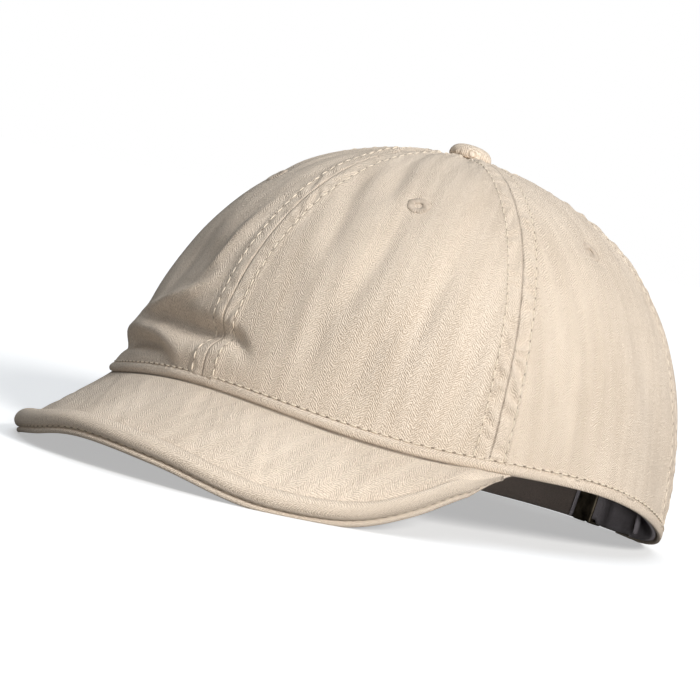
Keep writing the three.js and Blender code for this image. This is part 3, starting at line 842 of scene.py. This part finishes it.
def peak_surface(count, rows, drop, detail=True):
    """The peak's upper side, or its lower one a drop below, with soft drag lines as detail."""
    across, start, edge, out, up, size = rulings(count)
    end = edge - out * PEAK_TUCK * size + up * (LIP + PEAK_THICKNESS) * size
    share = np.linspace(0, 1, rows)[None, :, None]
    arch = PEAK_CAMBER - 1.0 * smoothstep(-across, 0.1, 0.4) - 2.2 * smoothstep(-across, 0.6, 0.85)
    camber = arch[:, None, None] * 4 * share * (1 - share)
    grid = start[:, None] * (1 - share) + end[:, None] * share
    rise = np.broadcast_to(camber, grid.shape[:2] + (1,)).copy()
    if detail:
        x, y = grid[..., 0], grid[..., 1]
        lean, along = x * 0.75 + y * 0.66, y * 0.75 - x * 0.66
        some = 0.6 + 0.4 * noise(lean / 7, along / 16, 43)
        drag = 0.09 * some * np.sin(2 * np.pi * (lean / 5.4 + 0.9 * noise(lean / 14, along / 30, 41)))
        drag = drag + 0.34 * noise(lean / 3.6, along / 40, 44) * some
        drag = drag + 0.36 * noise(lean / 9, along / 36, 42)
        rise += (drag * smoothstep(share[..., 0], 0.03, 0.2))[..., None]
    return grid + up[:, None] * (rise * size[:, None] - drop * size[:, None])


def peak_pieces():
    count, rows = 300, 46
    top = peak_surface(count, rows, 0.0)
    points, faces = shell(top, peak_surface(count, rows, PEAK_THICKNESS, False))
    steepness = 1.18
    flat = top[..., :2].reshape(-1, 2) * np.array([1, -steepness]) + 500
    # Painted shadow: the peak's cloth darkens in a line just past the hem band's edge, where the band's
    # shadow falls
    past_band = np.maximum(np.linalg.norm(top - top[:, :1], axis=-1) - PEAK_HIDDEN, 0).reshape(-1)
    shade_map = np.stack([past_band, 0 * past_band], -1)
    make_piece("cloth_peak", points, faces, peak_cloth, ["peak"], np.concatenate([flat, flat]),
               np.concatenate([shade_map, shade_map]))


def edge_roll():
    """The padded roll along the peak's edge, the stitched groove and the thin lip below it."""
    _, _, edge, out, up, size = rulings(420)
    around = np.linspace(0, np.pi, 15)
    roll = zip(-3.5 - 3.1 * np.cos(around), 3.9 + 2.7 * np.sin(around) ** 0.85)
    groove_out = -1.75
    profile = np.array([(-6.6, 3.7), *roll, (-0.55, 3.2), (-0.9, 2.6), (-1.6, 2.15),
                        (groove_out, 1.95), (-1.2, 1.8), (-0.5, 1.85), (-0.12, 1.6), (0, 1.0),
                        (-0.12, 0.4), (-0.5, 0.05), (-1.4, 0), (-3, 0), (-6, 0), (-6.3, 0.5), (-5.5, 0.9)])
    length = lengths_along(edge)
    pucker = 0.5 + 0.5 * np.cos(2 * np.pi * length / HEM_STITCH)
    loose = noise(length / 8, length * 0, 51)
    sections = []
    for px, pz in profile:
        on_roll = max(0, min(1, (pz - 3.6) / 2))
        wave = 0.18 * loose * on_roll - 0.14 * pucker * (1 - on_roll) * (pz > 1.2)
        sections.append(edge + out * px * size + up * (pz + wave[:, None]) * size)
    points, faces = tube(np.stack(sections, 1))
    # The sewing map runs round the profile from the groove's bottom, so shade is painted into the groove
    girth = lengths_along(profile)
    deepest = girth[profile[:, 0] == groove_out]
    make_piece("cloth_peak_roll", points, faces, peak_cloth, ["peak_binding"],
               tube_map(girth, length), tube_map(np.abs(girth - deepest), length))
    groove = edge + out * -1.5 * size + up * 2.05 * size
    sewn_row("peak_edge_stitching", "peak_needle_holes", groove, out, HEM_STITCH, PEAK_THREAD, PEAK_HOLE)
    inner = edge + out * -6.75 * size + up * 4.05 * size
    stitch_run("peak_inner_stitching", inner[20:-20], up[20:-20], HEM_STITCH, PEAK_INNER_THREAD, thread)


# Small parts

def eyelets():
    """Buttonhole thread wound round each hole, over a small dark bowl of painted shade."""
    strands, size = 26, 18
    steps = strands * 8
    cross = np.linspace(0, 2 * np.pi, size, endpoint=False)
    bowl = [(EYELET_HOLE + 0.5, 0.2), (EYELET_HOLE + 0.35, 0.0), (0.9, -0.05), (0.45, -0.05),
            (0.12, -0.05), (0.12, -0.4), (EYELET_HOLE + 0.5, -0.4)]
    for name, start in PANEL_STARTS.items():
        middle = start + PANEL_ANGLE / 2
        centre, normal = cloth_surface(np.array([middle]), np.array([eyelet_climb(middle)]))
        centre, normal = centre[0], normal[0]
        side = unit(np.cross([0, 0, 1.0], normal))
        up = np.cross(normal, side)

        def ring_point(angle, radius, level):
            return centre + (side * math.cos(angle) + up * math.sin(angle)) * radius + normal * level

        around = np.arange(steps) * 2 * np.pi / steps
        uneven = noise(around * 4.1, around * 0 + start / 7.0, 71)
        strand = np.abs(np.sin(around * strands / 2)) ** 0.7
        sections = []
        for a, rib, loose in zip(around, strand, uneven):
            outer = EYELET_RADIUS - 0.35 + 0.3 * rib + 0.25 * loose
            inner = EYELET_HOLE + 0.15 * loose
            radius = (outer + inner) / 2 + (outer - inner) / 2 * np.cos(cross)
            level = 0.1 + (0.38 + 0.26 * rib) * np.sin(cross)
            sections.append(ring_point(a, radius[:, None], level[:, None]))
        points, faces = closed_ring(sections)
        make_piece(f"thread_eyelet_{name}", points, faces, eyelet_thread, [f"eyelet_{name}"])
        # A dark bowl of painted shade in the hole
        around = np.arange(24) * 2 * np.pi / 24
        points, faces = closed_ring([[ring_point(a, *place) for a in around] for place in bowl])
        make_piece(f"eyelet_hole_{name}", points, faces, hole_shade)


def top_button():
    """A cloth-covered dome, its cover gathered under the rim."""
    centre = crown_point(np.array([0.0]), np.array([1.0]))[0]
    steps, gather_count = 96, 16
    angle = np.linspace(-0.35 * np.pi, np.pi / 2, 26)[:-1]
    tall = BUTTON_HEIGHT - 0.4
    dome = [(BUTTON_RADIUS * math.cos(a) ** 0.62 if a > 0 else BUTTON_RADIUS - 1.6 * (1 - math.cos(a)),
             1.6 + (1.5 if a < 0 else tall - 0.4) * math.sin(a)) for a in angle]
    plate_and_shank = [(0.05, -2.6), (5.2, -2.6), (5.2, -1.9), (2.0, -1.8), (2.0, 0.3)]
    around = np.arange(steps) * 2 * np.pi / steps
    gathers = np.cos(around * gather_count + 1.3 * np.sin(around * 3))
    rows = []
    for radius, level in plate_and_shank + dome + [(0.05, 1.2 + tall)]:
        rim = math.exp(-((level - 0.6) / 1.2) ** 2) * (radius > 5.5)
        wide = radius + 0.16 * gathers * rim
        rows.append(np.stack([centre[0] + wide * np.cos(around), centre[1] + wide * np.sin(around),
                              np.full(steps, centre[2] + level)], -1))
    grid = np.array(rows)
    faces = grid_faces(len(rows), steps, wrap=True)
    make_piece("cloth_button", grid.reshape(-1, 3), faces, cap_cloth, ["button"],
               grid[..., :2].reshape(-1, 2) + 900)


def ribbon(name, start, end, face, low_at, high, material, replaces):
    """A flat band behind the crown. The inset of its outer face and its lower edge may vary."""
    azimuth = np.linspace(start, end, 120)
    bevel, end_share, thickness = 0.12, 0.005, STRAP_THICKNESS
    heights = np.linspace(0, 1, 12)[1:-1]
    section = [(bevel, end_share), *((0, h) for h in heights), (bevel, 1 - end_share)]
    section += [(thickness - bevel, 1 - end_share), *((thickness, h) for h in heights[::-1])]
    section += [(thickness - bevel, end_share)]
    around = np.radians(azimuth) * HALF_WIDTH
    low = low_at(azimuth)
    sections = []
    for depth, share in section:
        wave = 0.15 * noise(around / 9, around * 0 + 1.5 * share, 61)
        sections.append(wall_point(azimuth, low + (high - low) * share, face(azimuth) + depth + wave)[0])
    points, faces = tube(np.stack(sections, 1))
    across = np.array([share * high for _, share in section])
    make_piece(name, points, faces, material, replaces, tube_map(across, around, 300))


def strap_pieces():
    """The strap, narrower inside the slide, its tucked end and its two rows of thread."""
    low = lambda a: STRAP_LOW + 1.35 * smoothstep(-np.abs(a - SLIDE_MIDDLE), -5.2, -3.6)
    ribbon("cloth_back_strap", 150, 210, lambda a: STRAP_INSET, low, STRAP_HIGH, strap_cloth,
           ["back_strap"])
    gap = 0.3
    tucked, beside = SWEAT_INSET + SWEAT_THICKNESS + gap, STRAP_INSET + STRAP_THICKNESS + gap
    tail = lambda a: tucked + (beside - tucked) * smoothstep(a, 154, 164)
    ribbon("cloth_strap_tail", 135, 173.5, tail, lambda a: low(a) + 0.3, STRAP_HIGH - 0.5, sweat_cloth,
           ["strap_tail"])
    for label, height in (("low", STRAP_LOW + 2.4), ("high", STRAP_HIGH - 2)):
        line, normal = wall_point(np.linspace(151, 209, 200), height, STRAP_INSET)
        stitch_run(f"strap_stitching_{label}", line, normal, HEM_STITCH, STRAP_THREAD, thread)


def slide_ring(azimuth, grown):
    """A ring with rounded corners round the strap, larger than the clear way by grown."""
    low = STRAP_LOW + 1.0 - SLIDE_CLEAR - grown
    high = STRAP_HIGH + SLIDE_CLEAR + grown
    face = STRAP_INSET - SLIDE_CLEAR - grown
    depth = 2 * STRAP_THICKNESS + 3 * SLIDE_CLEAR + 2 * grown
    angle = np.linspace(0, 2 * np.pi, 44, endpoint=False)
    square = lambda value: np.sign(value) * np.abs(value) ** SLIDE_CORNER
    height = (low + high) / 2 + (high - low) / 2 * square(np.sin(angle))
    inset = face + depth / 2 - depth / 2 * square(np.cos(angle))
    return wall_point(azimuth, height, inset)[0]


def slide():
    """The flat metal sleeve round both layers of the strap, its two rims rolled."""
    rim = [(-1, 0), (-1, 0.6), (-0.94, 1.0), (-0.8, 1.15), (-0.62, 0.95), (-0.45, 0.7)]
    profile = rim + [(-along, out) for along, out in rim[::-1]] + [(0.6, 0), (-0.6, 0)]
    rings = [slide_ring(SLIDE_MIDDLE + SLIDE_HALF * along, SLIDE_WALL * out) for along, out in profile]
    points, faces = closed_ring(rings)
    make_piece("metal_strap_slide", points, faces, slide_metal, ["strap_buckle"])


def arch_edge():
    """The folded hem round the rear opening."""
    x, z = arch_outline()
    z = np.maximum(z, BAND_HEIGHT - 1)
    lengths = np.concatenate([[0], np.cumsum(np.hypot(np.diff(x), np.diff(z)))])
    at = np.linspace(0, lengths[-1], 170)
    x, z = np.interp(at, lengths, x), np.interp(at, lengths, z)
    tangent = unit(np.stack([np.gradient(x), np.gradient(z)], -1))
    away = np.stack([-tangent[:, 1], tangent[:, 0]], -1)
    profile = [(-0.5, -0.5), (-0.7, 0.1), (-0.4, 0.6), (0.6, 0.75), (2.5, 0.7), (4.6, 0.6), (5.4, 0.3),
               (5.6, -0.3), (5.4, -1.2), (4.6, -1.35), (2.5, -1.4), (0.6, -1.4), (-0.4, -1.3), (-0.7, -0.9)]
    rows = []
    for shift, level in profile:
        px, pz = x + away[:, 0] * shift, z + away[:, 1] * shift
        azimuth = 180 - np.degrees(np.arcsin(np.clip(px / HALF_WIDTH, -1, 1)))
        climb = climb_at(azimuth, pz - hem_height(azimuth))
        point = crown_point(azimuth, climb)
        rows.append(point + crown_normal(azimuth, climb) * (fold_rise(azimuth, point) + level)[:, None])
    points, faces = tube(np.stack(rows, 1))
    make_piece("cloth_arch_hem", points, faces, cap_cloth, (),
               tube_map(np.arange(len(profile)) * 1.2, at, 700))


# Stage

def towards(azimuth, elevation):
    """The level direction at an azimuth, raised by an elevation, both in radians."""
    flat = math.cos(elevation)
    return np.array([math.sin(azimuth) * flat, -math.cos(azimuth) * flat, math.sin(elevation)])


def sun_light(name, azimuth, elevation, spread, power, colour=(1, 1, 1)):
    """A soft light from one side. Spread is how wide the source looks, in degrees."""
    back = Vector(towards(math.radians(azimuth), math.radians(elevation)))
    lamp = bpy.data.lights.new(name, "SUN")
    lamp.energy, lamp.angle, lamp.color = power, math.radians(spread), colour
    light = add_object(name, lamp)
    light.location = back * 2
    light.rotation_mode = "QUATERNION"
    light.rotation_quaternion = (-back).to_track_quat("-Z", "Y")


FLOOR_HALF, FLOOR_WHITE, FLOOR_BOUNCE, FLOOR_GLOW = 8.0, 0.72, 0.2, 0.44
WORLD_LIGHT = 0.07


def camera_sees(tree, lit, seen, output):
    """Shows the camera one shader, while the other lights the hat."""
    ray = tree.nodes.new("ShaderNodeLightPath").outputs["Is Camera Ray"]
    either = add_node(tree, "ShaderNodeMixShader", {0: ray, 1: lit.outputs[0], 2: seen.outputs[0]})
    tree.links.new(either.outputs[0], tree.nodes[output].inputs["Surface"])


def stage():
    far = FLOOR_HALF
    floor = add_mesh("floor", [(-far, -far, 0), (far, -far, 0), (far, far, 0), (-far, far, 0)], [range(4)])
    material, tree, shader = new_material("pale_floor", 0.95)
    white = (1, 1, 1, 1)
    set_inputs(tree, shader, {
        "Base Color": (FLOOR_WHITE, FLOOR_WHITE, FLOOR_WHITE, 1),
        "Emission Color": white, "Emission Strength": FLOOR_GLOW,
    })
    dim = (FLOOR_BOUNCE, FLOOR_BOUNCE, FLOOR_BOUNCE, 1)
    muted = add_node(tree, "ShaderNodeBsdfDiffuse", {"Color": dim})
    camera_sees(tree, muted, shader, "Material Output")
    floor.data.materials.append(material)

    world = bpy.data.worlds.new("studio")
    world.use_nodes = True
    tree = world.node_tree
    soft, seen = tree.nodes["Background"], tree.nodes.new("ShaderNodeBackground")
    set_inputs(tree, soft, {"Color": white, "Strength": WORLD_LIGHT})
    set_inputs(tree, seen, {"Color": white, "Strength": 1})
    camera_sees(tree, soft, seen, "World Output")
    bpy.context.scene.world = world
    bpy.context.scene.view_settings.view_transform = "Standard"
    sun_light("key", 80, 25, 16, 3.14, (1.0, 0.985, 0.96))
    sun_light("fill", 45, 2.6, 4, 0.75)
    sun_light("top", 40, 84, 70, 1.4, (0.86, 0.93, 1.0))


# The photo's camera in the hat's own frame: turns in degrees, millimetres and pixels
CAMERA_TURN = (41.88, -4.29, 18.12)
CAMERA_DISTANCE, CAMERA_AIM_HEIGHT = 957.9, 45.0
CAMERA_FOCAL, PHOTO_SIZE, SENSOR = 2882.9, 700, 36
PRINCIPAL_X, PRINCIPAL_Y = 433.76, 322.5


def camera():
    """The photograph's view, held in the hat's own frame and then turned with the hat."""
    azimuth, elevation, roll = np.radians(CAMERA_TURN)
    back = towards(azimuth, elevation)
    level = np.array([math.cos(azimuth), math.sin(azimuth), 0])
    above = np.cross(back, level)
    right = level * math.cos(roll) + above * math.sin(roll)
    up = -level * math.sin(roll) + above * math.cos(roll)
    place = np.array([0, 0, CAMERA_AIM_HEIGHT]) + CAMERA_DISTANCE * back
    middle = PHOTO_SIZE / 2
    aim = -back + right * (middle - PRINCIPAL_X) / CAMERA_FOCAL - up * (middle - PRINCIPAL_Y) / CAMERA_FOCAL
    back = unit(-aim)
    right = unit(np.cross(up, back))
    axes = turn(np.stack([right, np.cross(back, right), back]))
    lens = bpy.data.cameras.new("camera")
    lens.sensor_width = SENSOR
    lens.lens = CAMERA_FOCAL / PHOTO_SIZE * SENSOR
    eye = add_object("camera", lens)
    rows = np.column_stack([axes.T, stand_unpressed(place)]).tolist()
    eye.matrix_world = Matrix(rows + [[0, 0, 0, 1]])
    bpy.context.scene.camera = eye


camera()
stage()
crown_cloth()
seam_stitching()
hem_band()
sweat_band()
peak_pieces()
edge_roll()
eyelets()
top_button()
strap_pieces()
slide()
arch_edge()
